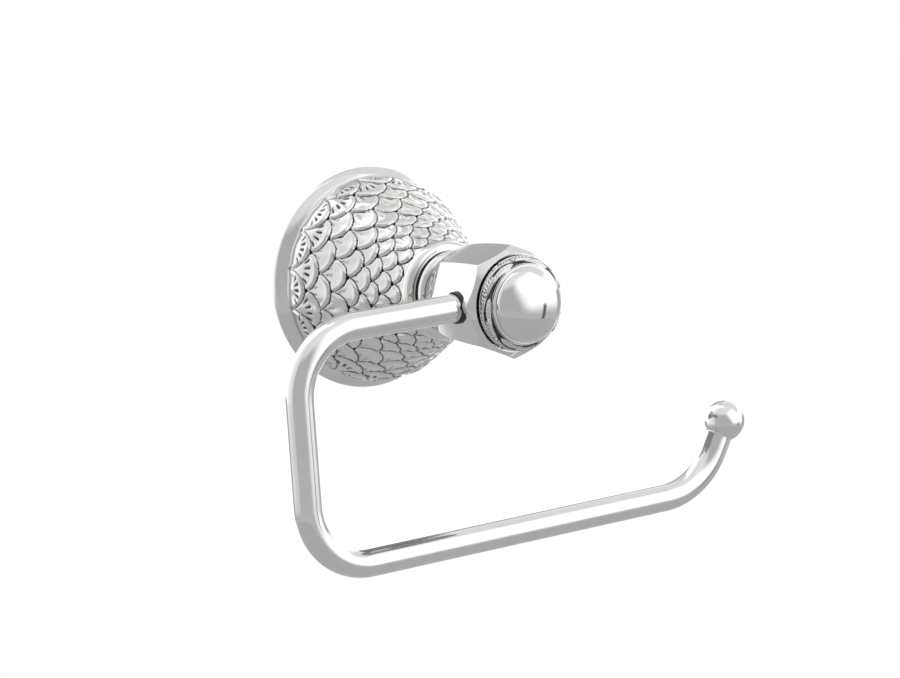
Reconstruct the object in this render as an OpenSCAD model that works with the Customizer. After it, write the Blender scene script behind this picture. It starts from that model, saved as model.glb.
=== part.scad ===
// Wall-mounted toilet paper holder with a swinging open arm.
// Origin: centre of the rosette's back face, on the wall. The post runs along -Y and Z is up.
// Every "depth" below is a distance from the wall along the post axis.

/* [Rosette] */
// Radius of the rosette's rim on the wall
rim_r = 33; // [30:0.5:40]
// Height of the plain edge at the rim
rim_edge = 0.8; // [0.5:0.1:1.5]
// How far the plain band runs in from the rim before the embossed field starts
band_in = 2.5; // [1.5:0.1:4]
// Depth at which the plain band ends
band_depth = 3.4; // [2.5:0.1:5]
// How far the shoulder, where the cone starts, lies in from the rim
shoulder_in = 3.8; // [3:0.1:6]
// Depth of the shoulder
shoulder_depth = 12; // [9:0.5:14]
// Slope of the cone's side, measured from the post axis
cone_angle = 27.3; // [22:0.1:32]
// Thickness of the rosette's shell
shell_t = 1.3; // [0.8:0.1:2]
// Radius of the hole in the rosette's nose
nose_hole_r = 9; // [6:0.5:10]

/* [Collar and neck] */
// Radius of the rosette's nose, where the collar sits
nose_r = 14.3; // [12:0.1:16]
// Length of the collar
collar_len = 3.3; // [2.5:0.1:5]
// Radius of the collar's front edge
collar_front_r = 12.1; // [10:0.1:12.5]
// Radius of the washer between the collar and the neck ring
washer_r = 11.1; // [8:0.1:11.5]
// Thickness of that washer
washer_t = 1; // [0.5:0.1:2]
// Radius of the neck ring
neck_ring_r = 12; // [10:0.1:12.5]
// Length of the neck ring
neck_ring_len = 2.5; // [1.5:0.1:4]

/* [Knuckle] */
// Length of the round neck behind the knuckle's eight flats
neck_len = 3.6; // [2:0.1:6]
// Radius of that neck
neck_r = 9.8; // [8:0.1:10.5]
// Width across the flats at the back of the knuckle
back_flats = 26.2; // [25:0.2:28]
// Width across the flats at the front of the knuckle
front_flats = 30.1; // [28:0.1:33]
// Length of the flats, from the knuckle's back face to its front face
knuckle_len = 26.9; // [24:0.1:32]
// Width of the chamfer at the back corners
back_chamfer = 1.7; // [0.5:0.1:2]
// Radius of the round front face inside the front chamfer
front_face_r = 14; // [12.5:0.1:14.5]
// Turn of the eight flats about the post axis, from square to the arm
flats_turn = 2.5; // [-5:0.5:5]
// Depth of the arm's axis
arm_depth = 70; // [68:0.5:71]
// Radius of the spigot that centres the leaf ring
spigot_r = 9.5; // [7:0.5:10]
// Length of that spigot
spigot_len = 2.6; // [1.5:0.1:3.5]

/* [Leaf ring and cap] */
// Length of the leaf ring
leaf_len = 4.1; // [3.5:0.1:6]
// Radius of the leaf ring's front edge
leaf_front_r = 11.6; // [11:0.1:13]
// Radius of the cap's dome at its foot
dome_r = 10.8; // [9:0.1:11]
// Height of the dome above its foot
dome_h = 5; // [3:0.1:9]
// Radius of the bead round the cap's foot
bead_r = 0.55; // [0.3:0.05:0.8]

/* [Arm] */
// Radius of the arm's rod
rod_r = 4; // [3:0.1:5]
// Distance from the post axis to the arm's upright leg
leg_out = 68.5; // [50:0.5:90]
// Drop from the arm's axis to the bar that carries the roll
drop = 67; // [60:0.5:80]
// Radius of the bend at the top of the leg
top_bend_r = 18.7; // [10:0.1:24]
// Radius of the bend at the foot of the leg
foot_bend_r = 19.1; // [10:0.1:24]
// Distance from the post axis to the far end of the straight bar
bar_end = 52.9; // [40:0.1:75]
// Radius of the upturn at the bar's end
upturn_r = 22.4; // [14:0.1:30]
// Angle of the upturn
upturn_angle = 60.6; // [40:0.2:80]
// Length of the finial's shank, between the end of the rod and the ball
shank_len = 4.4; // [3:0.1:12]
// Radius of the finial's ball
ball_r = 6.1; // [5.5:0.1:8]
// How far the rod's inner end passes the post axis
rod_past = 9; // [6:0.1:10]

/* [Pivot] */
// Running gap round the rod, in the bush and in the knuckle
pivot_gap = 0.05; // [0.02:0.01:0.1]
// Wall of the nylon bush round the rod
bush_t = 0.55; // [0.4:0.05:1]
// Length of the bush
bush_len = 8.8; // [5:0.1:10]
// How far the bush's lip stands out from the post axis
bush_out = 15.8; // [14.8:0.1:16.5]
// Radius left under the stop groove in the rod
groove_root_r = 2.6; // [2:0.1:3]
// Width of the stop groove
groove_w = 4; // [3.6:0.1:5]
// Radius of the retaining screw's dog point, which runs in the groove
dog_r = 1.7; // [1:0.1:1.7]
// Angle through which the arm lifts
lift_angle = 100; // [60:5:120]

/* [Wall bracket] */
// Radius of the steel wall plate
plate_r = 23; // [18:0.5:26]
// Thickness of the wall plate
plate_t = 3; // [2:0.5:4]
// Radius of the boss that holds the stud
boss_r = 8; // [6.5:0.5:9]
// Depth of the boss's front face
boss_depth = 11; // [8:0.5:14]
// Distance between the two wall screws
screw_spacing = 34; // [28:1:36]
// Radius of the wall screw holes
screw_hole_r = 2.5; // [2:0.1:3]

/* [Fasteners] */
// Radius of the M8 tapped holes for the post's stud
stud_hole_r = 4; // [3:0.5:4.5]
// Radius of the M6 tapped holes behind the cap
cap_hole_r = 3; // [2.5:0.1:3]
// Radius of the M4 tapped holes in the rod's end and the finial
ball_hole_r = 2; // [1.5:0.1:2.2]
// Gap between each thread and its hole
thread_gap = 0.05; // [0.03:0.01:0.1]
// Width across the flats of the stud's nut
nut_flats = 13; // [12:0.5:14]
// Thickness of the stud's nut
nut_t = 6.5; // [4:0.5:7]
// Thickness of the washer under the nut
lock_washer_t = 1.6; // [1:0.1:2]

/* [Hidden] */
$fn = 96;

chrome = [0.83, 0.84, 0.86];
steel = [0.62, 0.64, 0.67];
black = [0.05, 0.05, 0.06];

// Steps in each curved outline, and how far a cut runs past the metal it cuts
curve_steps = 10;
over = 1;

// Gap round a thread that passes through, and round a spigot in its seat
loose_gap = 0.1;
seat_gap = 0.05;

// The stack of pieces along the post, each depth from the one behind it
shoulder_r = rim_r - shoulder_in;
nose_depth = shoulder_depth + (shoulder_r - nose_r) / tan(cone_angle);
collar_depth = nose_depth + collar_len;
washer_depth = collar_depth + washer_t;
ring_depth = washer_depth + neck_ring_len;
flats_depth = ring_depth + neck_len;
face_depth = flats_depth + knuckle_len;
leaf_depth = face_depth + leaf_len;
dome_depth = leaf_depth + 2 * bead_r;

// The arm's bore stops a little past the rod's inner end
bore_r = rod_r + pivot_gap;
bore_end = rod_past + 0.6;
bush_r = bore_r + bush_t;

// The stud fills its blind hole in the boss and ends short of the arm's bore
stud_r = stud_hole_r - thread_gap;
pass_r = stud_r + loose_gap;
stud_hole_start = 1.5;
stud_start = stud_hole_start + 0.3;
stud_hole_end = arm_depth - bore_r - 3;
stud_end = stud_hole_end - 1;

// The dog point stops just short of the groove's root, and the screw's body short of the rod
dog_depth = arm_depth + groove_root_r + 0.15;
dog_len = rod_r - groove_root_r + 0.2;
screw_body_len = 3;
screw_r = cap_hole_r - thread_gap;
screw_back = dog_depth + dog_len + screw_body_len;
hex_key_r = 1.5;
hex_key_depth = 1.6;

// The groove is as long as the lift, and as wide an angle again as the dog point takes up
stop_gap_angle = 2;
dog_angle = asin(dog_r / (dog_depth - arm_depth)) + stop_gap_angle;

// The cap's screw reaches from behind the front face into the cap
cap_screw_back = screw_back + 0.4;
cap_hole_end = dome_depth + dome_h - 2.6;
cap_screw_end = cap_hole_end - 0.3;

// The finial's stud goes equally far into the rod and into the shank
ball_hole_depth = 5;
ball_stud_r = ball_hole_r - thread_gap;
ball_stud_reach = ball_hole_depth - 0.4;

// Slope of the knuckle's flats
flats_slope = atan((front_flats - back_flats) / 2 / knuckle_len);
corner_r = front_flats / 2 / cos(22.5);
back_corner_r = back_flats / 2 / cos(22.5);

// Points of a smooth curve from a to c that heads for b on the way
function curve(a, b, c) = [
    for (i = [0 : curve_steps])
        let (t = i / curve_steps)
            (1 - t) * (1 - t) * a + 2 * t * (1 - t) * b + t * t * c
];

// The rosette's outline from its rim to its nose, moved inwards by one thickness
function rosette_line(inset) = let (
    rim = [rim_r - inset, 0],
    edge = [rim_r - inset, rim_edge],
    band = [rim_r - band_in - inset, band_depth],
    shoulder = [shoulder_r - inset, shoulder_depth],
    nose = [nose_r - inset, nose_depth]
) concat(
    [rim],
    curve(edge, [band[0], band_depth * 0.35], band),
    curve(band, [band[0] + 1.1, (band_depth + shoulder_depth) / 2], shoulder),
    [nose]
);

// Puts a shape's base at a depth on the post axis, and its own up along the post
module on_post(depth) {
    translate([0, -depth, 0]) rotate([90, 0, 0]) children();
}

// A round bar or hole between two depths
module post_bar(r, from, to) {
    on_post(from) cylinder(h = to - from, r = r);
}

// A round ring with a hole through it, between two depths
module post_ring(r, hole_r, from, to) {
    difference() {
        post_bar(r, from, to);
        post_bar(hole_r, from - over, to + over);
    }
}

// Lays a shape's own up along X, at the arm's axis
module on_arm(x) {
    translate([x, -arm_depth, 0]) rotate([0, 90, 0]) children();
}

// Lays a shape in the plane of the hanging arm, at a corner of its outline
module in_arm_plane(x, z) {
    on_post(arm_depth) translate([x, z, 0]) children();
}

// A bend in the rod, about the corner's centre
module bend(x, z, r, start, turn) {
    in_arm_plane(x, z) rotate([0, 0, start]) rotate_extrude(angle = turn)
        translate([r, 0]) circle(r = rod_r);
}

// A straight stretch of the rod, from a point of its outline and along an angle
module straight(x, z, angle, length) {
    in_arm_plane(x, z) rotate([0, 0, angle]) rotate([0, 90, 0]) cylinder(h = length, r = rod_r);
}

module wall_plate() {
    color(steel) difference() {
        union() {
            post_bar(plate_r, 0, plate_t);
            post_bar(boss_r, 0, boss_depth);
        }
        post_bar(stud_hole_r, stud_hole_start, boss_depth + over);
        for (side = [-1, 1])
            translate([0, 0, side * screw_spacing / 2]) post_bar(screw_hole_r, -over, plate_t + over);
    }
}

module post_stud() {
    color(steel) post_bar(stud_r, stud_start, stud_end);
}

module lock_washer() {
    color(steel) post_ring(nut_flats / 2 + 0.4, pass_r, boss_depth, boss_depth + lock_washer_t);
}

module stud_nut() {
    nut_back = boss_depth + lock_washer_t;
    color(steel) difference() {
        on_post(nut_back) cylinder(h = nut_t, r = nut_flats / 2 / cos(30), $fn = 6);
        post_bar(stud_hole_r, nut_back - over, nut_back + nut_t + over);
    }
}

module rosette() {
    outside = rosette_line(0);
    inside = rosette_line(shell_t);
    last = len(inside) - 1;
    back_of_nose = [for (i = [last - 1 : -1 : 0]) inside[i]];
    nose_back = nose_depth - shell_t;
    color(chrome) on_post(0) rotate_extrude() polygon(concat(
        outside,
        [[nose_hole_r, nose_depth], [nose_hole_r, nose_back], [nose_r - shell_t, nose_back]],
        back_of_nose
    ));
}

module rosette_collar() {
    foot_r = nose_r + 0.2;
    spigot = nose_hole_r - seat_gap;
    color(chrome) on_post(nose_depth) rotate_extrude() polygon(concat(
        [[pass_r, -shell_t], [spigot, -shell_t], [spigot, 0]],
        curve([foot_r, 0], [foot_r + 0.1, collar_len * 0.95], [collar_front_r, collar_len]),
        [[pass_r, collar_len]]
    ));
}

module neck_washer() {
    color(black) post_ring(washer_r, pass_r, collar_depth, washer_depth);
}

module neck_ring() {
    color(chrome) on_post(washer_depth) rotate_extrude() polygon(concat(
        [[pass_r, 0], [neck_ring_r - 0.3, 0]],
        curve([neck_ring_r, 0.3], [neck_ring_r, neck_ring_len * 0.8], [neck_r + 0.4, neck_ring_len]),
        [[pass_r, neck_ring_len]]
    ));
}

// The knuckle's round blank: neck, back chamfer, front chamfer, front face and spigot
module knuckle_blank() {
    back_r = back_corner_r - back_chamfer;
    front_chamfer = corner_r - front_face_r;
    rotate_extrude() polygon([
        [0, -neck_len],
        [neck_r, -neck_len],
        [neck_r, 0],
        [back_r, 0],
        [corner_r + 1, corner_r + 1 - back_r],
        [corner_r + 1, knuckle_len - front_chamfer - 1],
        [front_face_r, knuckle_len],
        [spigot_r, knuckle_len],
        [spigot_r, knuckle_len + spigot_len],
        [0, knuckle_len + spigot_len]
    ]);
}

module knuckle() {
    wide = 4 * corner_r;
    color(chrome) difference() {
        on_post(flats_depth) difference() {
            knuckle_blank();
            for (i = [0 : 7])
                rotate([0, 0, 22.5 - flats_turn + 45 * i]) translate([back_flats / 2, 0, 0])
                    rotate([0, flats_slope, 0]) translate([0, -wide / 2, -wide / 4]) cube(wide);
        }
        post_bar(stud_hole_r, ring_depth - over, stud_hole_end);
        post_bar(cap_hole_r, arm_depth, face_depth + spigot_len + over);
        translate([-wide / 2, 0, 0]) on_arm(0) cylinder(h = wide / 2 + bore_end, r = bore_r);
        on_arm(-wide / 2) cylinder(h = wide / 2 - bush_out + bush_len, r = bush_r);
    }
}

module leaf_ring() {
    root = [front_face_r - 0.1, 0];
    front = [leaf_front_r, leaf_len];
    color(chrome) on_post(face_depth) rotate_extrude() polygon(concat(
        [[spigot_r + seat_gap, 0]],
        curve(root, [root[0] - 0.2, leaf_len * 0.7], front),
        [[spigot_r + seat_gap, leaf_len]]
    ));
}

module dome_cap() {
    bead_ring = dome_r + 0.1;
    color(chrome) difference() {
        on_post(leaf_depth) rotate_extrude() {
            translate([bead_ring, bead_r]) circle(r = bead_r, $fn = 32);
            square([bead_ring, 2 * bead_r]);
            polygon(concat(
                [[0, 2 * bead_r]],
                [for (i = [0 : 2 * curve_steps])
                    let (a = 90 * i / (2 * curve_steps))
                        [dome_r * cos(a), 2 * bead_r + dome_h * sin(a)]]
            ));
        }
        post_bar(cap_hole_r, leaf_depth - over, cap_hole_end);
    }
}

module cap_screw() {
    color(steel) post_bar(cap_hole_r - thread_gap, cap_screw_back, cap_screw_end);
}

module arm_bush() {
    color(black) difference() {
        on_arm(-bush_out) cylinder(h = bush_len, r = bush_r - seat_gap / 2);
        on_arm(-bush_out - over) cylinder(h = bush_len + 2 * over, r = bore_r);
    }
}

module arm_retaining_screw() {
    body_back = dog_depth + dog_len;
    color(steel) difference() {
        union() {
            post_bar(dog_r, dog_depth, screw_back);
            post_bar(screw_r, body_back, screw_back);
        }
        on_post(screw_back - hex_key_depth) cylinder(h = hex_key_depth + over, r = hex_key_r, $fn = 6);
    }
}

// The groove that the dog point runs in, whose two ends stop the arm
module stop_groove() {
    on_arm(-groove_w / 2) rotate([0, 0, -90 - dog_angle])
        rotate_extrude(angle = lift_angle + 2 * dog_angle)
            translate([groove_root_r, 0]) square([rod_r, groove_w]);
}

module arm_rod() {
    top_x = top_bend_r - leg_out;
    foot_x = foot_bend_r - leg_out;
    foot_z = foot_bend_r - drop;
    color(chrome) difference() {
        union() {
            on_arm(top_x) cylinder(h = rod_past - top_x, r = rod_r);
            bend(top_x, -top_bend_r, top_bend_r, 90, 90);
            straight(-leg_out, foot_z, 90, -top_bend_r - foot_z);
            bend(foot_x, foot_z, foot_bend_r, 180, 90);
            straight(foot_x, -drop, 0, bar_end - foot_x);
            bend(bar_end, upturn_r - drop, upturn_r, -90, upturn_angle);
        }
        stop_groove();
        in_tip(-ball_hole_depth) cylinder(h = ball_hole_depth + over, r = ball_hole_r);
    }
}

// Lays a shape's own up along the end of the upturn, at a distance past it
module in_tip(along) {
    in_arm_plane(bar_end, upturn_r - drop) rotate([0, 0, upturn_angle])
        translate([along, -upturn_r, 0]) rotate([0, 90, 0]) children();
}

module end_ball() {
    ball_place = shank_len + sqrt(ball_r * ball_r - rod_r * rod_r);
    color(chrome) in_tip(0) difference() {
        union() {
            cylinder(h = ball_place, r = rod_r);
            translate([0, 0, ball_place]) sphere(r = ball_r);
        }
        translate([0, 0, -over]) cylinder(h = ball_hole_depth + over, r = ball_hole_r);
    }
}

module end_ball_stud() {
    color(steel) in_tip(-ball_stud_reach) cylinder(h = 2 * ball_stud_reach, r = ball_stud_r);
}

wall_plate();
post_stud();
lock_washer();
stud_nut();
rosette();
rosette_collar();
neck_washer();
neck_ring();
knuckle();
leaf_ring();
dome_cap();
cap_screw();
arm_bush();
arm_retaining_screw();
arm_rod();
end_ball();
end_ball_stud();
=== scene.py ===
import math

import bmesh
import bpy
import numpy as np
from mathutils import Matrix, Vector


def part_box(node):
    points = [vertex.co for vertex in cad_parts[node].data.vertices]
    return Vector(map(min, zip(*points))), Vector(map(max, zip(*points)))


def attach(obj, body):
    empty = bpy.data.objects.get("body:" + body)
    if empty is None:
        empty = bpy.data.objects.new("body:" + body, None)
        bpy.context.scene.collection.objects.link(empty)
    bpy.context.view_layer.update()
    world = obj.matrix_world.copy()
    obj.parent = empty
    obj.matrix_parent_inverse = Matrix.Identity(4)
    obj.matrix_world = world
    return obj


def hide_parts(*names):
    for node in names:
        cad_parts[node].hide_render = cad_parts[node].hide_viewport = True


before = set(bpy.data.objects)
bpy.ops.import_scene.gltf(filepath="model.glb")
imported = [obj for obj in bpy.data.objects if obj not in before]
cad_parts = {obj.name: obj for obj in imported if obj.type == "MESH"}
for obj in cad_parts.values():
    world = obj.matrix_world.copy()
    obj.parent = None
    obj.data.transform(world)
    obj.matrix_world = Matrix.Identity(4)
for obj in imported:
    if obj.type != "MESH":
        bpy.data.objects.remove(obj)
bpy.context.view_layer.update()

# --- Rosette -----------------------------------------------------------------------------
# The cover that hides the wall bracket: a thin pressed brass shell, chrome plated. Its cone
# is embossed by hand with rows of fish scales, the rim side rows lying on top.
MM = 0.001


def read_outline(*stretches):
    """Joins stretches of (radius, depth) points into one outline, dropping doubled points."""
    points = [stretches[0][0]]
    for stretch in stretches:
        for point in stretch:
            if math.dist(point, points[-1]) > 1e-6:
                points.append(tuple(point))
    return np.array(points, float)


def bow(start, toward, end, steps):
    """A smooth curve from start to end that heads for a third point on the way."""
    t = np.linspace(0, 1, steps + 1)[:, None]
    start, toward, end = (np.array(p, float) for p in (start, toward, end))
    return (1 - t) ** 2 * start + 2 * t * (1 - t) * toward + t * t * end


def line(start, end, steps=1):
    """A straight stretch of outline."""
    t = np.linspace(0, 1, steps + 1)[:, None]
    return (1 - t) * np.array(start, float) + t * np.array(end, float)


def turn(name, radii, depths, angles, closed=True, sharp=35):
    """A piece turned about the post's axis, in millimetres. Rows follow the outline and
    columns go round; a row whose radius is nothing becomes one point on the axis."""
    columns = len(angles)
    radii = np.asarray(radii, float).reshape(len(radii), -1)
    radii = np.broadcast_to(radii, (len(radii), columns))
    depths = np.broadcast_to(np.asarray(depths, float).reshape(len(depths), -1), radii.shape)
    points, rows = [], []
    for radius, depth in zip(radii, depths):
        if radius.max() < 1e-6:
            rows.append([len(points)] * columns)
            points.append((0, -depth[0], 0))
            continue
        rows.append(list(range(len(points), len(points) + columns)))
        points.extend(zip(radius * np.cos(angles), -depth, radius * np.sin(angles)))
    faces = []
    last = len(rows) if closed else len(rows) - 1
    for i in range(last):
        here, there = rows[i], rows[(i + 1) % len(rows)]
        for j in range(columns):
            k = (j + 1) % columns
            corners = []
            for corner in (here[j], there[j], there[k], here[k]):
                if corner not in corners:
                    corners.append(corner)
            if len(corners) > 2:
                faces.append(corners)
    mesh = bpy.data.meshes.new(name)
    mesh.from_pydata([tuple(MM * c for c in p) for p in points], [], faces)
    return finish_mesh(name, mesh, sharp)


def finish_mesh(name, mesh, sharp):
    """Points all faces outwards, shades them smooth but for real corners, and makes a piece."""
    work = bmesh.new()
    work.from_mesh(mesh)
    bmesh.ops.recalc_face_normals(work, faces=work.faces)
    work.to_mesh(mesh)
    work.free()
    mesh.shade_smooth()
    mesh.set_sharp_from_angle(angle=math.radians(sharp))
    piece = bpy.data.objects.new(name, mesh)
    bpy.context.scene.collection.objects.link(piece)
    return piece


def mark_depth(piece, name, values):
    """Stores a value for each point of the piece, which its material reads."""
    attribute = piece.data.attributes.new(name, "FLOAT", "POINT")
    attribute.data.foreach_set("value", np.asarray(values, np.float32).ravel())


def new_group(name, inputs, outputs):
    """A shader node group with named sockets. Returns its tree, its input and its output."""
    tree = bpy.data.node_groups.new(name, "ShaderNodeTree")
    for label, value in inputs.items():
        kind = "NodeSocketFloat" if isinstance(value, (int, float)) else "NodeSocketColor"
        socket = tree.interface.new_socket(label, in_out="INPUT", socket_type=kind)
        socket.default_value = value
    for label, kind in outputs.items():
        tree.interface.new_socket(label, in_out="OUTPUT", socket_type="NodeSocket" + kind)
    ends = tree.nodes.new("NodeGroupInput"), tree.nodes.new("NodeGroupOutput")
    return tree, ends[0].outputs, ends[1].inputs


def put(tree, kind, settings=(), **inputs):
    """A node with its settings, and each input linked to a socket or set to a value."""
    made = tree.nodes.new(kind)
    for key, value in dict(settings).items():
        setattr(made, key, value)
    for key, value in inputs.items():
        label = int(key[1:]) if key[0] == "i" and key[1:].isdigit() else key.replace("_", " ")
        if isinstance(value, bpy.types.NodeSocket):
            tree.links.new(value, made.inputs[label])
        else:
            made.inputs[label].default_value = value
    return made


def maths(tree, operation, a, b=0.0, c=0.0):
    """One sum on values or sockets."""
    return put(tree, "ShaderNodeMath", {"operation": operation}, i0=a, i1=b, i2=c).outputs[0]


def ramp(tree, value, low, high, to_low=0.0, to_high=1.0):
    """A value brought smoothly from one span to another."""
    return put(
        tree, "ShaderNodeMapRange", {"interpolation_type": "SMOOTHSTEP"},
        Value=value, From_Min=low, From_Max=high, To_Min=to_low, To_Max=to_high
    ).outputs[0]


# Polished plate: wiping hairlines, a faint haze of handling and the slight ripple of the buff
plate, plate_in, plate_out = new_group(
    "polished_plate",
    {"Hairline Scale": 900.0, "Haze Scale": 60.0, "Ripple Scale": 120.0,
     "Base Roughness": 0.05, "Haze": 0.05, "Hairlines": 0.06,
     "Plate": (0.9, 0.9, 0.9, 1.0), "Worn": (0.8, 0.8, 0.8, 1.0)},
    {"Color": "Color", "Roughness": "Float", "Height": "Float"},
)
place = put(plate, "ShaderNodeTexCoord").outputs["Object"]
streaks = []
for turned_by, squeeze in (((0.3, 0.9, 0.2), (1, 0.04, 1)), ((1.1, -0.4, 0.8), (0.05, 1, 1))):
    laid = put(
        plate, "ShaderNodeMapping", Vector=place, Rotation=turned_by, Scale=squeeze
    ).outputs[0]
    noise = put(
        plate, "ShaderNodeTexNoise", Vector=laid, Scale=plate_in["Hairline Scale"], Detail=2.0
    ).outputs["Fac"]
    streaks.append(ramp(plate, noise, 0.62, 0.72))
hairline = maths(plate, "MAXIMUM", *streaks)
haze = put(
    plate, "ShaderNodeTexNoise", Vector=place, Scale=plate_in["Haze Scale"], Detail=4.0,
    Roughness=0.6
).outputs["Fac"]
ripple = put(
    plate, "ShaderNodeTexNoise", Vector=place, Scale=plate_in["Ripple Scale"], Detail=1.0
).outputs["Fac"]
hazed = maths(plate, "MULTIPLY", ramp(plate, haze, 0.42, 0.7), plate_in["Haze"])
scratched = maths(plate, "MULTIPLY", hairline, plate_in["Hairlines"])
rough = maths(plate, "ADD", maths(plate, "ADD", plate_in["Base Roughness"], hazed), scratched)
plate.links.new(rough, plate_out["Roughness"])
plate.links.new(
    maths(plate, "SUBTRACT", ripple, maths(plate, "MULTIPLY", hairline, 0.02)),
    plate_out["Height"],
)
tinted = put(
    plate, "ShaderNodeMix", {"data_type": "RGBA"}, i0=ramp(plate, haze, 0.3, 0.75),
    i6=plate_in["Plate"], i7=plate_in["Worn"]
).outputs[2]
plate.links.new(tinted, plate_out["Color"])

# Painted shade in hollows: the colour is darkened towards near black, and the surface made rougher,
# wherever the hollow mask is marked, standing in for the shade that falls in them
hollow_shade, hollow_shade_in, hollow_shade_out = new_group(
    "painted_hollow_shade",
    {"Clean": (0.9, 0.9, 0.9, 1.0), "Painted Shade": (0.05, 0.05, 0.05, 1.0), "Hollow": 0.0,
     "Amount": 1.0, "Roughness": 0.05, "Hollow Roughness": 0.4},
    {"Color": "Color", "Roughness": "Float"},
)
speck = put(
    hollow_shade, "ShaderNodeTexNoise", Vector=put(hollow_shade, "ShaderNodeTexCoord").outputs["Object"],
    Scale=700.0, Detail=3.0
).outputs["Fac"]
# painted shade: the hollow mask times its amount, broken up by fine noise
painted_shade = maths(
    hollow_shade, "MULTIPLY", maths(hollow_shade, "MULTIPLY", hollow_shade_in["Hollow"], hollow_shade_in["Amount"]),
    ramp(hollow_shade, speck, 0.2, 0.6, 0.7, 1.0)
)
painted_shade = maths(hollow_shade, "MINIMUM", painted_shade, 1.0)
hollow_shade.links.new(
    put(hollow_shade, "ShaderNodeMix", {"data_type": "RGBA"}, i0=painted_shade, i6=hollow_shade_in["Clean"],
        i7=hollow_shade_in["Painted Shade"]).outputs[2],
    hollow_shade_out["Color"],
)
hollow_shade.links.new(
    put(hollow_shade, "ShaderNodeMix", {"data_type": "FLOAT"}, i0=painted_shade, i2=hollow_shade_in["Roughness"],
        i3=hollow_shade_in["Hollow Roughness"]).outputs[0],
    hollow_shade_out["Roughness"],
)


def chrome(name, plate_values, ripple_depth=0.02, hollow=None, shade_amount=1.0):
    """Chrome plate with this piece's own polish, and painted shade where its hollows are marked."""
    material = bpy.data.materials.new(name)
    material.use_nodes = True
    tree = material.node_tree
    shader = tree.nodes["Principled BSDF"]
    shader.inputs["Metallic"].default_value = 1.0
    made = put(tree, "ShaderNodeGroup", {"node_tree": plate})
    for label, value in plate_values.items():
        made.inputs[label].default_value = value
    colour, roughness = made.outputs["Color"], made.outputs["Roughness"]
    if hollow:
        marked = put(tree, "ShaderNodeAttribute", {"attribute_name": hollow}).outputs["Fac"]
        # painted shade in the marked hollows darkens the plate's colour here
        shaded = put(
            tree, "ShaderNodeGroup", {"node_tree": hollow_shade}, Clean=colour, Roughness=roughness,
            Hollow=marked, Amount=shade_amount
        )
        colour, roughness = shaded.outputs["Color"], shaded.outputs["Roughness"]
    tree.links.new(colour, shader.inputs["Base Color"])
    tree.links.new(roughness, shader.inputs["Roughness"])
    bump = put(
        tree, "ShaderNodeBump", Height=made.outputs["Height"], Strength=0.5,
        Distance=ripple_depth * MM
    )
    tree.links.new(bump.outputs[0], shader.inputs["Normal"])
    return material


def fit(piece, material, slot, body, *nodes):
    """Gives the piece its material, and puts it in the place of its CAD nodes."""
    piece.data.materials.append(material)
    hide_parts(*nodes)
    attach(piece, body)


rosette_low, rosette_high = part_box("rosette")
rim_r = rosette_high.x / MM
nose_depth = -rosette_low.y / MM
nose_r, nose_hole_r, shell_t = 14.3, 9.0, 1.3
band_r, band_depth = rim_r - 2.5, 3.4
shoulder_r, shoulder_depth = rim_r - 3.8, 12.0

# Tip depth, number of punched marks, their spacing in degrees, first and last depth, and cut
SCALE_ROWS = (
    (11.6, 5, 3.4, 7.9, 9.5, 0.46),
    (15.2, 4, 4.0, 11.2, 12.9, 0.44),
    (19.0, 4, 4.2, 13.4, 15.4, 0.22),
    (24.0, 3, 4.7, 17.9, 20.0, 0.18),
    (27.8, 3, 5.0, 22.0, 24.0, 0.16),
    (30.8, 2, 6.0, 26.0, 27.8, 0.13),
    (33.5, 2, 6.5, 29.4, 31.0, 0.12),
    (37.2, 2, 7.0, 32.6, 34.4, 0.10),
    (40.1, 2, 8.0, 36.0, 37.6, 0.08),
    (43.6, 0, 8.0, 40.0, 41.0, 0.0),
)
SCALES_ROUND = 16
ROW_TURN = (-2.25, 9.0)
FIRST_SAG = 7.3
LIP_RISE, LIP_IN, LIP_WIDTH = 0.09, 1.0, 0.5
SHINGLE_RISE, SHINGLE_REACH = 0.66, 2.9
SIDE_FALL, GUTTER, PIT = 0.42, 0.30, 0.45
TILT, LUMP, LUMPS = 0.10, 0.022, 12


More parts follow.
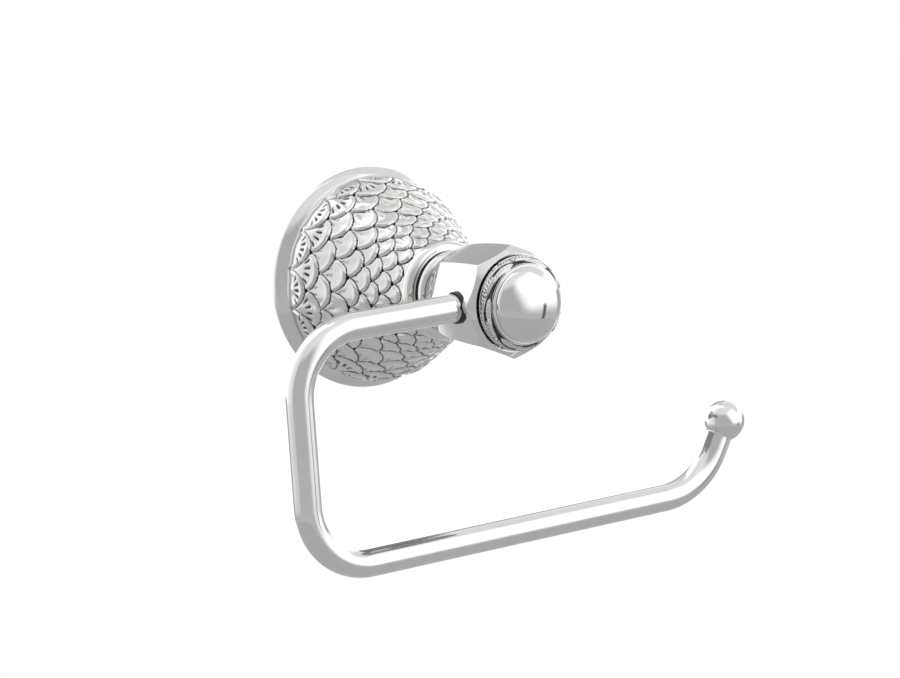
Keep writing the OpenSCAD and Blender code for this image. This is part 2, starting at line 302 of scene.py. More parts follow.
def emboss(angles, depths, radii):
    """Height of the embossed scales, and how much painted shade each point gets in the gaps, pits
    and punched marks.
    """
    rng = np.random.default_rng(7)
    pitch = 360 / SCALES_ROUND
    degrees = np.degrees(angles)[None, :]
    shape = (len(depths), len(angles))
    depth = np.broadcast_to(depths[:, None], shape)
    radius = np.broadcast_to(radii[:, None], shape)
    height = np.zeros(shape)
    hollow = np.zeros(shape)
    done = np.zeros(shape, bool)
    edge_above = np.full(shape, band_depth - 0.2)
    slope_above = np.zeros(shape)
    tip_above = SCALE_ROWS[0][0] - FIRST_SAG
    for row, (tip, marks, mark_pitch, mark_from, mark_to, cut) in enumerate(SCALE_ROWS):
        wobble = rng.uniform(-1, 1, (5, SCALES_ROUND))
        along = (degrees - ROW_TURN[row % 2]) / pitch
        number = np.round(along).astype(int)
        u = 2 * (along - number)
        number = number % SCALES_ROUND
        own = wobble[:, number]
        bulge = 1 - u ** 2
        u = u + 0.07 * own[0] * bulge
        arch = 1 - (1 - np.abs(u) ** 2.3) ** 0.62
        edge = tip - (tip - tip_above) * arch + 0.28 * own[1] * bulge
        edge = np.broadcast_to(edge, shape)
        step = math.radians(pitch / 2) * radius
        slope = np.gradient(edge, axis=1) / (np.gradient(angles)[None, :] * radius)
        slope = np.clip(np.abs(slope), 0, 3)
        inside = (depth - edge) / np.sqrt(1 + slope ** 2) * -1.1
        beyond = (depth - edge_above) / np.sqrt(1 + slope_above ** 2) * 1.1
        mine = (~done) & (depth <= edge)
        uu = np.broadcast_to(u, shape)
        rise = SHINGLE_RISE * (1 + 0.15 * np.broadcast_to(own[2], shape))
        h = -0.42 + rise * np.exp(-np.maximum(inside, 0) / SHINGLE_REACH)
        h += LIP_RISE * np.exp(-((inside - LIP_IN) / LIP_WIDTH) ** 2)
        h -= 0.38 * np.exp(-(np.maximum(inside, 0) / 0.5) ** 2)
        h -= SIDE_FALL * uu ** 2
        h += TILT * np.broadcast_to(own[4], shape) * uu
        gap = np.exp(-(beyond / 0.36) ** 2)
        h -= GUTTER * gap
        corner = np.hypot(step * (1 - np.abs(uu)), (depth - tip_above) * 1.1)
        pit = np.exp(-(corner / 0.62) ** 2)
        h -= PIT * pit
        # painted shade in the gap under the row above and in the pits between scales
        dark = np.maximum(0.95 * gap, pit)
        spread = (np.arange(marks) - (marks - 1) / 2) * mark_pitch
        side = np.broadcast_to(degrees - ROW_TURN[row % 2], shape)
        side = (side + pitch / 2) % pitch - pitch / 2
        for offset in spread:
            lag = 2.6 * (offset / (pitch / 2)) ** 2
            t = (depth - (mark_from - 0.5 * lag)) / (mark_to - mark_from - 0.5 * lag)
            centre = offset * (0.72 + 0.42 * t) + 0.5 * np.broadcast_to(own[3], shape)
            aside = np.radians(side - centre) * radius
            width = 0.3 + 0.16 * np.clip(t, 0, 1)
            ends = np.clip((t + 0.12) / 0.3, 0, 1) * np.clip((1.1 - t) / 0.2, 0, 1)
            groove = np.exp(-(aside / width) ** 4) * ends
            h -= cut * groove
            # painted shade in the punched marks, stronger where they are cut deeper
            dark = np.maximum(dark, groove * (cut / 0.46) ** 1.5)
        height = np.where(mine, h, height)
        hollow = np.where(mine, dark, hollow)
        done |= mine
        edge_above, slope_above, tip_above = edge, slope, tip
    # The hammer's unevenness, as a few waves that close on themselves round the shell
    waves = zip(
        rng.integers(14, 44, LUMPS), rng.uniform(-1.1, 1.1, LUMPS), rng.uniform(0, 6.3, LUMPS)
    )
    for turns, lean, phase in waves:
        height = height + LUMP * np.cos(turns * angles[None, :] + lean * depth + phase)
    start = np.clip((depth - band_depth) / 0.5, 0, 1)
    end = np.clip((nose_depth - 0.1 - depth) / 0.8, 0, 1)
    return height * start * end, hollow * start * end


field_rows, rosette_columns = 180, 720
rosette_angles = np.linspace(0, 2 * math.pi, rosette_columns, endpoint=False)
band_line = read_outline(
    line((rim_r, 0), (rim_r, 0.8)),
    bow((rim_r, 0.8), ((rim_r + band_r) / 2 + 0.3, (0.8 + band_depth) / 2 + 0.3),
        (band_r, band_depth), 10),
)
field = read_outline(
    bow((band_r, band_depth), (band_r + 1.1, (band_depth + shoulder_depth) / 2),
        (shoulder_r, shoulder_depth), 60),
    line((shoulder_r, shoulder_depth), (nose_r, nose_depth), 240),
)
run = np.concatenate([[0], np.cumsum(np.hypot(*np.diff(field, axis=0).T))])
pick = np.linspace(0, run[-1], field_rows)
field = np.stack([np.interp(pick, run, field[:, i]) for i in (0, 1)], 1)
heading = np.gradient(field, axis=0)
outward = np.stack([heading[:, 1], -heading[:, 0]], 1)
outward /= np.linalg.norm(outward, axis=1)[:, None]
height, hollow = emboss(rosette_angles, field[:, 1], field[:, 0])
inner = read_outline(
    line((nose_r, nose_depth), (nose_hole_r, nose_depth)),
    line((nose_hole_r, nose_depth), (nose_hole_r, nose_depth - shell_t)),
    line((nose_hole_r, nose_depth - shell_t), (nose_r - shell_t, nose_depth - shell_t)),
    line((nose_r - shell_t, nose_depth - shell_t), (shoulder_r - shell_t, shoulder_depth), 3),
    bow((shoulder_r - shell_t, shoulder_depth), (band_r - shell_t + 1, 7.7),
        (band_r - shell_t, band_depth), 3),
    line((band_r - shell_t, band_depth), (rim_r - shell_t, 0)),
)[1:]
before, after = band_line[:-1], inner
spread = np.ones(rosette_columns)
radii = np.concatenate([
    before[:, :1] * spread, field[:, :1] + height * outward[:, :1], after[:, :1] * spread
])
depths = np.concatenate([
    before[:, 1:] * spread, field[:, 1:] + height * outward[:, 1:], after[:, 1:] * spread
])
rosette = turn("rosette_shell", radii, depths, rosette_angles, sharp=80)
# the hollow attribute carries the painted shade mask to the material
mark_depth(rosette, "hollow", np.concatenate([
    np.zeros((len(before), rosette_columns)), hollow, np.zeros((len(after), rosette_columns))
]))
rosette_chrome = chrome(
    "rosette_chrome",
    {"Base Roughness": 0.07, "Haze": 0.05, "Hairlines": 0.04, "Ripple Scale": 420.0,
     "Plate": (0.61, 0.605, 0.60, 1), "Worn": (0.56, 0.555, 0.55, 1)},
    ripple_depth=0.05, hollow="hollow", shade_amount=1.3
)
fit(rosette, rosette_chrome, "rosette_chrome", "post", "rosette")

# --- Collar and neck ring ----------------------------------------------------------------
# Two turned and plated brass rings that close the rosette's nose and seat the knuckle. They
# are clamped on the post's stud with a dark washer between them.
ring_columns = 192
ring_angles = np.linspace(0, 2 * math.pi, ring_columns, endpoint=False)
stud_pass_r = 4.1


def depth_span(node):
    """The depths, in millimetres, between which a CAD node lies."""
    low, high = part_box(node)
    return -high.y / MM, -low.y / MM


plain_chrome = chrome(
    "plain_chrome",
    {"Base Roughness": 0.035, "Haze": 0.035, "Hairlines": 0.05, "Ripple Scale": 55.0,
     "Plate": (0.61, 0.605, 0.60, 1), "Worn": (0.58, 0.575, 0.57, 1)},
    ripple_depth=0.03
)
collar_front = depth_span("rosette_collar")[1]
collar_front_r, collar_foot_r = 12.1, nose_r + 0.2
collar_line = read_outline(
    line((stud_pass_r, nose_depth - shell_t), (nose_hole_r - 0.05, nose_depth - shell_t)),
    line((nose_hole_r - 0.05, nose_depth - shell_t), (nose_hole_r - 0.05, nose_depth)),
    line((nose_hole_r - 0.05, nose_depth), (collar_foot_r - 0.2, nose_depth)),
    bow((collar_foot_r - 0.2, nose_depth), (collar_foot_r, nose_depth),
        (collar_foot_r, nose_depth + 0.2), 4),
    bow((collar_foot_r, nose_depth + 0.2), (collar_foot_r, collar_front - 0.3),
        (collar_front_r + 0.3, collar_front - 0.15), 16),
    bow((collar_front_r + 0.3, collar_front - 0.15), (collar_front_r, collar_front),
        (collar_front_r - 0.4, collar_front), 5),
    line((collar_front_r - 0.4, collar_front), (stud_pass_r, collar_front)),
)
collar = turn("collar", collar_line[:, 0], collar_line[:, 1], ring_angles)
fit(collar, plain_chrome, "plain_chrome", "post", "rosette_collar")

ring_back, ring_front = depth_span("neck_ring")
neck_ring_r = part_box("neck_ring")[1].x / MM
neck_r = 9.8
ring_line = read_outline(
    line((stud_pass_r, ring_back), (neck_ring_r - 0.4, ring_back)),
    bow((neck_ring_r - 0.4, ring_back), (neck_ring_r, ring_back),
        (neck_ring_r, ring_back + 0.5), 6),
    bow((neck_ring_r, ring_back + 0.5), (neck_ring_r, ring_front - 0.5),
        (neck_r + 0.7, ring_front - 0.12), 16),
    bow((neck_r + 0.7, ring_front - 0.12), (neck_r + 0.5, ring_front),
        (neck_r + 0.3, ring_front), 3),
    line((neck_r + 0.3, ring_front), (stud_pass_r, ring_front)),
)
neck_ring = turn("neck_ring_turned", ring_line[:, 0], ring_line[:, 1], ring_angles)
fit(neck_ring, plain_chrome, "plain_chrome", "post", "neck_ring")

# --- Knuckle -----------------------------------------------------------------------------
# The solid brass body that holds the arm: milled with eight slightly spreading flats,
# chamfered at both ends, drilled across for the arm, then buffed and plated.
flats_back, face_depth = ring_front + 3.6, depth_span("leaf_ring")[0]
back_flat, front_flat = 13.0, 15.05
SWELL = 2.2
back_r = back_flat / math.cos(math.radians(22.5)) - 1.7
front_face_r = 14.0
flat_centres = np.radians(20.0 + 45 * np.arange(8))
CORNER_POWER = 170
BORE_FROM, BORE_END = 30, 9.0
bush_low, bush_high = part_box("arm_bush")
arm_depth = -(bush_low.y + bush_high.y) / 2 / MM
bush_r = (bush_high.z - bush_low.z) / 2 / MM


def knuckle_radius(angles, depth):
    """Distance from the post axis to the knuckle's side, corners just broken by the buff."""
    along = np.clip((depth - flats_back) / (face_depth - flats_back), 0, 1)
    flat = back_flat + (front_flat - back_flat) * (1 - (1 - along) ** SWELL)
    parts = [
        np.maximum(np.cos(angles - centre), 0) / flat for centre in flat_centres
    ]
    parts.append(np.full_like(angles, 1 / (back_r + (depth - flats_back))))
    parts.append(np.full_like(angles, 1 / (front_face_r + (face_depth - depth))))
    scale = 1 / np.max(parts, axis=0)
    return scale * sum((p * scale) ** CORNER_POWER for p in parts) ** (-1 / CORNER_POWER)


toward_corner = np.linspace(-1, 1, 49)[:-1]
toward_corner = np.sign(toward_corner) * (1 - (1 - np.abs(toward_corner)) ** 1.9)
knuckle_angles = np.sort(np.concatenate([
    centre + math.radians(22.5) * toward_corner for centre in flat_centres
]))
side_depths = np.concatenate([
    flats_back + np.linspace(0, 2.4, 26),
    np.linspace(flats_back + 3, face_depth - 3.2, 26),
    face_depth - 2.8 + np.linspace(0, 2.8, 40),
])
neck_back = ring_front
spread = np.ones(len(knuckle_angles))
radii = np.concatenate([
    [0 * spread, neck_r * spread, neck_r * spread, (neck_r + 0.25) * spread],
    [knuckle_radius(knuckle_angles, d) for d in side_depths],
    [9.5 * spread, 0 * spread],
])
depths = np.concatenate([
    [[neck_back], [neck_back], [flats_back - 0.25], [flats_back]],
    side_depths[:, None], [[face_depth], [face_depth]],
])
knuckle = turn("knuckle_milled", radii, depths, knuckle_angles, closed=False, sharp=28)
drill = bmesh.new()
bmesh.ops.create_cone(
    drill, cap_ends=True, segments=96,
    radius1=(bush_r + 0.02) * MM, radius2=(bush_r + 0.02) * MM,
    depth=(BORE_FROM - BORE_END) * MM,
    matrix=Matrix.Translation((-(BORE_FROM + BORE_END) / 2 * MM, -arm_depth * MM, 0))
    @ Matrix.Rotation(math.radians(90), 4, "Y")
)
drill_mesh = bpy.data.meshes.new("drill")
drill.to_mesh(drill_mesh)
drill.free()
drill_piece = bpy.data.objects.new("drill", drill_mesh)
bpy.context.scene.collection.objects.link(drill_piece)
bore = knuckle.modifiers.new("bore", "BOOLEAN")
bore.object = drill_piece
bore.operation = "DIFFERENCE"
bore.solver = "EXACT"
bpy.context.view_layer.update()
bored = bpy.data.meshes.new_from_object(
    knuckle.evaluated_get(bpy.context.evaluated_depsgraph_get())
)
knuckle.modifiers.clear()
knuckle.data = bored
bored.name = "knuckle_milled"
bored.set_sharp_from_angle(angle=math.radians(28))
bpy.data.objects.remove(drill_piece)
fit(knuckle, plain_chrome, "plain_chrome", "post", "knuckle")

# --- Leaf ring ---------------------------------------------------------------------------
# A cast and plated ring round the cap's foot: a wreath of overlapping laurel leaves with
# veins and berries. It sits on the knuckle's spigot, held down by the cap.
leaf_back, leaf_front = depth_span("leaf_ring")
leaf_len = leaf_front - leaf_back
leaf_columns, leaf_rows = 600, 56
leaf_angles = np.linspace(0, 2 * math.pi, leaf_columns, endpoint=False)
leaf_front_r, leaf_seat_r = 11.6, 9.55
LEAF_PAIRS = 6
BERRIES = ((161.0, 0.52, 0.62), (127.0, 0.16, 0.45), (176.0, 0.14, 0.45))


def leaf_relief(angles, places):
    """Height of the wreath over the ring, and painted shade in its hollows, veins and leaf
    edges. Places run from 0 at the ring's root to 1 at its front edge."""
    rng = np.random.default_rng(11)
    degrees = np.degrees(angles)[None, :]
    v = places[:, None]
    height = np.full((len(places), len(angles)), -0.55)
    dark = np.zeros_like(height)
    pitch = 360 / LEAF_PAIRS
    kinds = (
        # tip angle, length, place at tip and base, half width, lift, veins
        (106.0, 52.0, 0.84, 0.70, 0.21, 0.22, 0.05),
        (133.0, 50.0, 0.66, 0.36, 0.29, 0.50, 0.14),
        (118.0, 40.0, 0.30, 0.14, 0.19, 0.30, 0.12),
    )
    for tip, length, v_tip, v_base, half, lift, vein in kinds:
        for k in range(LEAF_PAIRS):
            jog = rng.uniform(-1, 1, 3)
            along = (degrees - tip - pitch * k - 2 * jog[0]) % 360 / length
            inside = np.clip(along, 0, 1)
            wide = half * np.sin(math.pi * inside ** 0.62) ** 0.8 * (1 + 0.1 * jog[1]) + 1e-4
            middle = v_tip + (v_base - v_tip) * inside ** 0.7
            w = (v - middle) / wide
            body = np.clip(1 - w ** 2, 0, 1)
            ridge = lift * body ** 0.45 * (1 - 0.55 * inside) - 0.1
            ridge = ridge - 0.12 * np.exp(-((v - middle) / 0.035) ** 2)
            comb = np.sin(2 * math.pi * (along * length / 4.6 + 0.9 * np.abs(w)))
            ridge = ridge + vein * comb * body ** 0.5 * (w < 0)
            on_top = (along > 0) & (along < 1) & (np.abs(w) < 1) & (ridge > height)
            # painted shade along the vein lines and the leaf edges
            lines = np.clip(-1.4 * comb, 0, 1) * (w < 0) * (vein > 0.07)
            lines = np.maximum(lines, np.clip((np.abs(w) - 0.78) / 0.16, 0, 1))
            height = np.where(on_top, ridge, height)
            dark = np.where(on_top, lines, dark)
    for k in range(LEAF_PAIRS):
        for at, place, size in BERRIES:
            aside = ((degrees - at - pitch * k + 180) % 360 - 180) * 0.225
            away = np.hypot(aside, (v - place) * 5.4) / size
            berry = 0.5 * size * np.sqrt(np.clip(1 - away ** 2, 0, 1)) + 0.12
            moat = (away > 0.95) & (away < 1.35)
            height = np.where(away < 1, np.maximum(berry, -0.1), height)
            height = np.where(moat, height - 0.18, height)
            # painted shade in each berry's moat
            dark = np.where(moat, 1.0, np.where(away < 1, 0.0, dark))
    fade = np.clip(v / 0.05, 0, 1) * np.clip((1 - v) / 0.06, 0, 1)
    # painted shade wherever the relief sinks below the ring, and along the marked lines
    hollow = np.maximum(np.clip((0.02 - height) / 0.3, 0, 1), 0.85 * dark) * fade
    return height * fade, hollow


# A narrow foot under the leaves leaves a groove against the knuckle's face, given full painted
# shade below
leaf_foot_r, leaf_foot = 12.7, leaf_back + 0.5
leaf_line = bow((13.4, leaf_foot + 0.05), (13.6, leaf_back + leaf_len * 0.72),
                (leaf_front_r, leaf_front), leaf_rows - 1)
heading = np.gradient(leaf_line, axis=0)
outward = np.stack([heading[:, 1], -heading[:, 0]], 1)
outward /= np.linalg.norm(outward, axis=1)[:, None]
relief, leaf_hollow = leaf_relief(leaf_angles, np.linspace(0, 1, leaf_rows))
spread = np.ones(leaf_columns)
radii = np.concatenate([
    [leaf_seat_r * spread, leaf_foot_r * spread, leaf_foot_r * spread],
    leaf_line[:, :1] + relief * outward[:, :1], [leaf_seat_r * spread],
])
depths = np.concatenate([
    [leaf_back * spread, leaf_back * spread, leaf_foot * spread],
    leaf_line[:, 1:] + relief * outward[:, 1:], [leaf_front * spread],
])
leaf_ring = turn("leaf_wreath", radii, depths, leaf_angles, sharp=80)
# the seat and foot rows get full painted shade, so the groove shows dark
mark_depth(leaf_ring, "hollow", np.concatenate([
    np.full((3, leaf_columns), 1.0), leaf_hollow, np.zeros((1, leaf_columns))
]))
leaf_chrome = chrome(
    "leaf_chrome",
    {"Base Roughness": 0.09, "Haze": 0.06, "Hairlines": 0.03, "Ripple Scale": 500.0,
     "Plate": (0.60, 0.595, 0.59, 1), "Worn": (0.54, 0.535, 0.53, 1)},
    ripple_depth=0.05, hollow="hollow", shade_amount=1.0
)
fit(leaf_ring, leaf_chrome, "leaf_chrome", "post", "leaf_ring")

# --- Domed cap ---------------------------------------------------------------------------
# The turned and polished cap on the post's end, with a bead round its foot. It screws on
# from the front and clamps the leaf ring to the knuckle.
cap_back, cap_front = depth_span("dome_cap")
bead_r = 0.55
dome_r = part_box("dome_cap")[1].x / MM - 0.1 - bead_r
dome_foot = cap_back + 2 * bead_r
dome_h = cap_front - dome_foot
bead_turns = np.linspace(-90, 60, 14)
dome_turns = np.linspace(2, 90, 44)
bead_centre = dome_r + 0.1
cap_line = read_outline(
    [(3.0, cap_back), (bead_centre - 0.3, cap_back)],
    [(bead_centre + bead_r * math.cos(math.radians(a)),
      cap_back + bead_r + bead_r * math.sin(math.radians(a))) for a in bead_turns],
    [(dome_r + 0.02, dome_foot - 0.12), (dome_r - 0.02, dome_foot - 0.02)],
    [(dome_r * math.cos(math.radians(a)), dome_foot + dome_h * math.sin(math.radians(a)))
     for a in dome_turns],
)
cap_line[-1, 0] = 0
inside = np.array([(0, cap_front - 2.6), (3.0, cap_front - 2.6)])
cap_radii = np.concatenate([inside[:, 0], cap_line[:, 0]])
cap_depths = np.concatenate([inside[:, 1], cap_line[:, 1]])
cap = turn("cap_turned", cap_radii, cap_depths, ring_angles, closed=False, sharp=50)
fit(cap, plain_chrome, "plain_chrome", "post", "dome_cap")

# --- Arm ---------------------------------------------------------------------------------
# One 8 mm brass rod, bent three times, polished and plated. Its top end turns in the
# knuckle, so the whole arm lifts towards the front.
arm_low, arm_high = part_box("arm_rod")
rod_r = (arm_high.y - arm_low.y) / 2 / MM
arm_y = (arm_high.y + arm_low.y) / 2 / MM
leg_x = arm_low.x / MM + rod_r
bar_z = arm_low.z / MM + rod_r
top_bend_r, foot_bend_r, upturn_r = 18.7, 19.1, 22.4
bar_end, upturn_angle = 52.9, math.radians(60.6)
rod_sides = 56


def bend_points(centre, radius, start, end, step=2.0):
    """Points and headings round a bend in the arm's plane, angles in degrees."""
    turns = np.radians(np.linspace(start, end, int(abs(end - start) / step) + 1))
    way = 1 if end > start else -1
    return [
        (centre[0] + radius * math.cos(a), centre[1] + radius * math.sin(a),
         -way * math.sin(a), way * math.cos(a)) for a in turns
    ]


arm_path = [(9.0, 0.0, -1.0, 0.0), (8.6, 0.0, -1.0, 0.0)]
arm_path += [(x, 0.0, -1.0, 0.0) for x in np.linspace(8.0, leg_x + top_bend_r, 30)[:-1]]
arm_path += bend_points((leg_x + top_bend_r, -top_bend_r), top_bend_r, 90, 180)
arm_path += [
    (leg_x, z, 0.0, -1.0) for z in np.linspace(-top_bend_r, bar_z + foot_bend_r, 18)[1:-1]
]
arm_path += bend_points((leg_x + foot_bend_r, bar_z + foot_bend_r), foot_bend_r, 180, 270)
arm_path += [(x, bar_z, 1.0, 0.0) for x in np.linspace(leg_x + foot_bend_r, bar_end, 50)[1:-1]]
arm_path += bend_points(
    (bar_end, bar_z + upturn_r), upturn_r, 270, 270 + math.degrees(upturn_angle), 1.5
)
section = np.linspace(0, 2 * math.pi, rod_sides, endpoint=False)
rings = []
for i, (x, z, dx, dz) in enumerate(arm_path):
    radius = rod_r - 0.4 if i == 0 else rod_r
    rings.append([
        (MM * (x - dz * radius * math.cos(a)), MM * (arm_y + radius * math.sin(a)),
         MM * (z + dx * radius * math.cos(a))) for a in section
    ])
points = [p for ring in rings for p in ring]
faces = [
    (i * rod_sides + j, i * rod_sides + (j + 1) % rod_sides,
     (i + 1) * rod_sides + (j + 1) % rod_sides, (i + 1) * rod_sides + j)
    for i in range(len(rings) - 1) for j in range(rod_sides)
]
faces.append(list(range(rod_sides)))
faces.append([(len(rings) - 1) * rod_sides + j for j in range(rod_sides)])
rod_mesh = bpy.data.meshes.new("rod_bent")
rod_mesh.from_pydata(points, [], faces)
rod = finish_mesh("rod_bent", rod_mesh, 50)
rod_chrome = chrome(
    "rod_chrome",
    {"Base Roughness": 0.03, "Haze": 0.04, "Hairlines": 0.06, "Ripple Scale": 38.0,
     "Plate": (0.61, 0.605, 0.60, 1), "Worn": (0.58, 0.575, 0.57, 1)},
    ripple_depth=0.05
)
fit(rod, rod_chrome, "rod_chrome", "arm", "arm_rod")

# --- Ball finial -------------------------------------------------------------------------
# A turned brass ball on a short shank, screwed on to the arm's raised end so that the roll
# can't slide off.
tip_x = bar_end + upturn_r * math.sin(upturn_angle)
tip_z = bar_z + upturn_r - upturn_r * math.cos(upturn_angle)
shank_len, ball_r = 4.4, 6.1
ball_place = shank_len + math.sqrt(ball_r ** 2 - rod_r ** 2)
from_shank = math.degrees(math.asin(rod_r / ball_r))
ball_turns = np.radians(np.linspace(180 - from_shank - 3, 0, 60))
finial_line = read_outline(
    [(0, 0.01), (rod_r, 0.01)],
    line((rod_r, 0.01), (rod_r, shank_len - 0.35), 5),
    bow((rod_r, shank_len - 0.35), (rod_r, shank_len + 0.1), (rod_r + 0.35, shank_len + 0.45), 5),
    [(ball_r * math.sin(a), ball_place + ball_r * math.cos(a)) for a in ball_turns],
)
finial_line[-1, 0] = 0
finial = turn(
    "ball_finial", finial_line[:, 0], finial_line[:, 1], ring_angles[::2], closed=False, sharp=50
)
finial.data.transform(
    Matrix.Translation((tip_x * MM, arm_y * MM, tip_z * MM))
    @ Matrix.Rotation(math.radians(90) - upturn_angle, 4, "Y")
    @ Matrix.Rotation(math.radians(-90), 4, "X")
)
fit(finial, rod_chrome, "rod_chrome", "arm", "end_ball")

# --- Bush --------------------------------------------------------------------------------
# A moulded black nylon sleeve round the rod, pressed into the knuckle. Its lip shows as a
# black ring where the arm goes in.
bush_lip, bush_end = bush_low.x / MM, bush_high.x / MM
bush_line = read_outline([
    (rod_r + 0.04, -bush_lip - 0.1), (rod_r + 0.12, -bush_lip), (bush_r - 0.12, -bush_lip),
    (bush_r, -bush_lip - 0.14), (bush_r, -bush_end), (rod_r + 0.04, -bush_end),
])
bush = turn("bush_moulded", bush_line[:, 0], bush_line[:, 1], ring_angles[::2])
bush.data.transform(
    Matrix.Translation((0, arm_y * MM, 0)) @ Matrix.Rotation(math.radians(-90), 4, "Z")
)
black_nylon = bpy.data.materials.new("black_nylon")
black_nylon.use_nodes = True
tree = black_nylon.node_tree
shader = tree.nodes["Principled BSDF"]
shader.inputs["IOR"].default_value = 1.5
place = put(tree, "ShaderNodeTexCoord").outputs["Object"]
grain = put(tree, "ShaderNodeTexNoise", Vector=place, Scale=1800.0, Detail=3.0).outputs["Fac"]
rubbed = put(tree, "ShaderNodeTexNoise", Vector=place, Scale=160.0, Detail=2.0).outputs["Fac"]
tree.links.new(
    put(tree, "ShaderNodeMix", {"data_type": "RGBA"}, i0=ramp(tree, rubbed, 0.4, 0.7),
        i6=(0.006, 0.006, 0.007, 1), i7=(0.018, 0.018, 0.02, 1)).outputs[2],
    shader.inputs["Base Color"],
)
tree.links.new(ramp(tree, rubbed, 0.3, 0.7, 0.38, 0.55), shader.inputs["Roughness"])
tree.links.new(
    put(tree, "ShaderNodeBump", Height=grain, Strength=0.4, Distance=0.02 * MM).outputs[0],
    shader.inputs["Normal"],
)
fit(bush, black_nylon, "black_nylon", "post", "arm_bush")

# --- Wall bracket and fasteners ----------------------------------------------------------
# A zinc plated steel plate and boss, with the stud, washer, nut and screws that hold the
# post, the cap and the finial. All of it is hidden inside the holder or against the wall.
bracket_steel = bpy.data.materials.new("bracket_steel")
bracket_steel.use_nodes = True
tree = bracket_steel.node_tree
shader = tree.nodes["Principled BSDF"]
shader.inputs["Metallic"].default_value = 1.0
place = put(tree, "ShaderNodeTexCoord").outputs["Object"]
spangle = put(tree, "ShaderNodeTexVoronoi", Vector=place, Scale=420.0).outputs["Color"]
bloom = put(tree, "ShaderNodeTexNoise", Vector=place, Scale=130.0, Detail=5.0).outputs["Fac"]
tree.links.new(
    put(tree, "ShaderNodeMix", {"data_type": "RGBA"}, i0=ramp(tree, bloom, 0.35, 0.7),
        i6=(0.60, 0.62, 0.66, 1), i7=(0.44, 0.45, 0.46, 1)).outputs[2],
    shader.inputs["Base Color"],
)
facet = put(tree, "ShaderNodeRGBToBW", Color=spangle).outputs[0]
tree.links.new(
    maths(tree, "ADD", ramp(tree, facet, 0.0, 1.0, 0.26, 0.40),
          ramp(tree, bloom, 0.3, 0.8, 0.0, 0.14)),
    shader.inputs["Roughness"],
)
tree.links.new(
    put(tree, "ShaderNodeBump", Height=bloom, Strength=0.4, Distance=0.05 * MM).outputs[0],
    shader.inputs["Normal"],
)
carried = {
    "wall_plate": bracket_steel, "post_stud": bracket_steel, "lock_washer": bracket_steel,
    "stud_nut": bracket_steel, "cap_screw": bracket_steel, "arm_retaining_screw": bracket_steel,
    "end_ball_stud": bracket_steel, "neck_washer": black_nylon,
}
for node, material in carried.items():
    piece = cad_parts[node]
    piece.data.materials.clear()
    piece.data.materials.append(material)

# --- Studio ------------------------------------------------------------------------------
# A pale floor far below, a white tent of light, and the cards that polished metal shows.
# The camera stands to the front left and a little above.
scene = bpy.context.scene
scene.view_settings.view_transform = "Standard"
CAMERA_TURN, CAMERA_RISE, CAMERA_ROLL = (math.radians(a) for a in (-33.188, 9.98, -3.933))
CAMERA_AWAY, CAMERA_RIGHT, CAMERA_UP = 1.0828, 0.02455, -0.01856
back = Vector((
    math.sin(CAMERA_TURN) * math.cos(CAMERA_RISE), -math.cos(CAMERA_TURN) * math.cos(CAMERA_RISE),
    math.sin(CAMERA_RISE)
))
right = Vector((math.cos(CAMERA_TURN), math.sin(CAMERA_TURN), 0))
up = back.cross(right)
across = math.cos(CAMERA_ROLL) * right + math.sin(CAMERA_ROLL) * up
upright = -math.sin(CAMERA_ROLL) * right + math.cos(CAMERA_ROLL) * up
stand = back * CAMERA_AWAY + across * CAMERA_RIGHT + upright * CAMERA_UP
camera = bpy.data.objects.new("camera", bpy.data.cameras.new("camera"))
scene.collection.objects.link(camera)
camera.data.sensor_width = 36.0
camera.data.lens = 144.98
camera.matrix_world = Matrix((
    (across.x, upright.x, back.x, stand.x),
    (across.y, upright.y, back.y, stand.y),
    (across.z, upright.z, back.z, stand.z),
    (0, 0, 0, 1),
))
scene.camera = camera

world = bpy.data.worlds.new("tent")
scene.world = world
world.use_nodes = True
tree = world.node_tree
toward = put(tree, "ShaderNodeTexCoord").outputs["Generated"]
split = put(tree, "ShaderNodeSeparateXYZ", Vector=toward).outputs
DEGREES = 180 / math.pi
round_about = maths(
    tree, "MULTIPLY", maths(tree, "ARCTAN2", split["X"], maths(tree, "MULTIPLY", split["Y"], -1.0)),
    DEGREES
)
rise = maths(tree, "MULTIPLY", maths(tree, "ARCSINE", split["Z"]), DEGREES)
from_back = maths(tree, "MULTIPLY", maths(
    tree, "ARCCOSINE",
    put(tree, "ShaderNodeVectorMath", {"operation": "DOT_PRODUCT"}, i0=toward,
        i1=-back).outputs["Value"]
), DEGREES)


def within(value, low, high, soft):
    """One inside a span of degrees and nothing outside it, with a soft edge."""
    return maths(
        tree, "MULTIPLY", ramp(tree, value, low - soft, low + soft),
        ramp(tree, value, high - soft, high + soft, 1.0, 0.0)
    )


def blend(mask, level, shade):
    """The tent's light turned to another shade wherever the mask is one."""
    return put(
        tree, "ShaderNodeMix", {"data_type": "FLOAT"}, i0=mask, i2=level, i3=shade
    ).outputs[0]


def pane(level, turned, risen, edge, shade):
    """The tent's light with one pane of another shade in it."""
    mask = maths(
        tree, "MULTIPLY", within(round_about, *turned, edge), within(rise, *risen, edge)
    )
    return blend(mask, level, shade)


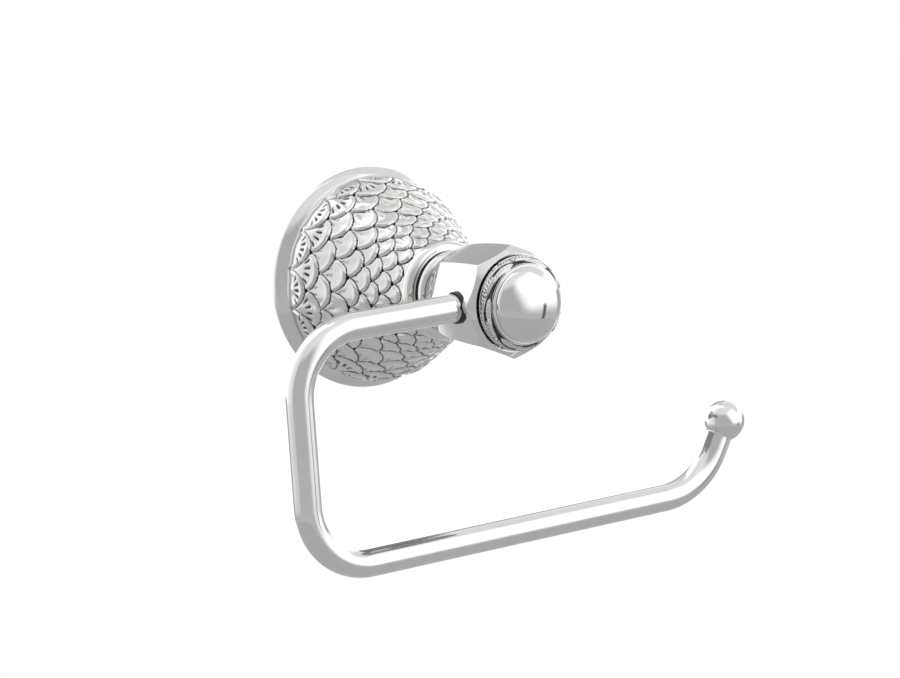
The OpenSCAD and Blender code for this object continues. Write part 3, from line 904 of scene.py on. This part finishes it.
# White overhead and to the right, duller to the left, grey in front and below, white behind
WHITE, DULL, ROOM, FLOOR_LIGHT, SEAM = 1.75, 1.15, 0.69, 0.74, 0.62
light = ramp(tree, round_about, -165.0, -95.0, WHITE, DULL)
light = blend(ramp(tree, round_about, -30.0, 10.0), light, WHITE)
slant = maths(tree, "ADD", rise, maths(tree, "MULTIPLY", round_about, 1.6))
room = maths(
    tree, "MULTIPLY",
    maths(tree, "MULTIPLY", within(round_about, -89.0, 60.0, 6.0), within(rise, -60.0, 43.0, 8.0)),
    ramp(tree, slant, -8.0, 36.0, 1.0, 0.0)
)
light = blend(room, light, ROOM)
light = blend(ramp(tree, rise, -20.0, -5.0, 1.0, 0.0), light, FLOOR_LIGHT)
backdrop = maths(
    tree, "MULTIPLY", ramp(tree, from_back, 38.0, 44.0, 1.0, 0.0),
    ramp(tree, rise, -28.0, -18.0)
)
light = blend(backdrop, light, WHITE)
light = pane(light, (-60, 60), (56, 95), 6.0, 1.25)
light = pane(light, (62, 136), (26, 84), 6.0, 1.15)
light = pane(light, (84, 130), (-21, 1), 2.0, SEAM)
light = pane(light, (-186, -150), (-20, -6), 2.0, SEAM)
light = pane(light, (138, 173), (13, 40), 3.0, SEAM)
light = pane(light, (138, 173), (40, 74), 4.0, 1.0)
light = pane(light, (44, 50), (-32, -8), 2.5, 0.16)
seen = put(tree, "ShaderNodeLightPath").outputs["Is Camera Ray"]
level = blend(seen, light, 1.0)
tree.nodes["Background"].inputs["Color"].default_value = (1, 1, 1, 1)
tree.links.new(level, tree.nodes["Background"].inputs["Strength"])

floor_mesh = bpy.data.meshes.new("floor")
floor_r, floor_z = 0.9, -0.42
floor_mesh.from_pydata(
    [(floor_r * math.cos(a), floor_r * math.sin(a) - 0.1, floor_z)
     for a in np.linspace(0, 2 * math.pi, 96, endpoint=False)],
    [], [tuple(range(96))]
)
floor = bpy.data.objects.new("floor", floor_mesh)
scene.collection.objects.link(floor)
floor_material = bpy.data.materials.new("floor_paint")
floor_material.use_nodes = True
floor_shader = floor_material.node_tree.nodes["Principled BSDF"]
floor_shader.inputs["Base Color"].default_value = (0.48, 0.48, 0.48, 1)
floor_shader.inputs["Roughness"].default_value = 0.8
floor_mesh.materials.append(floor_material)
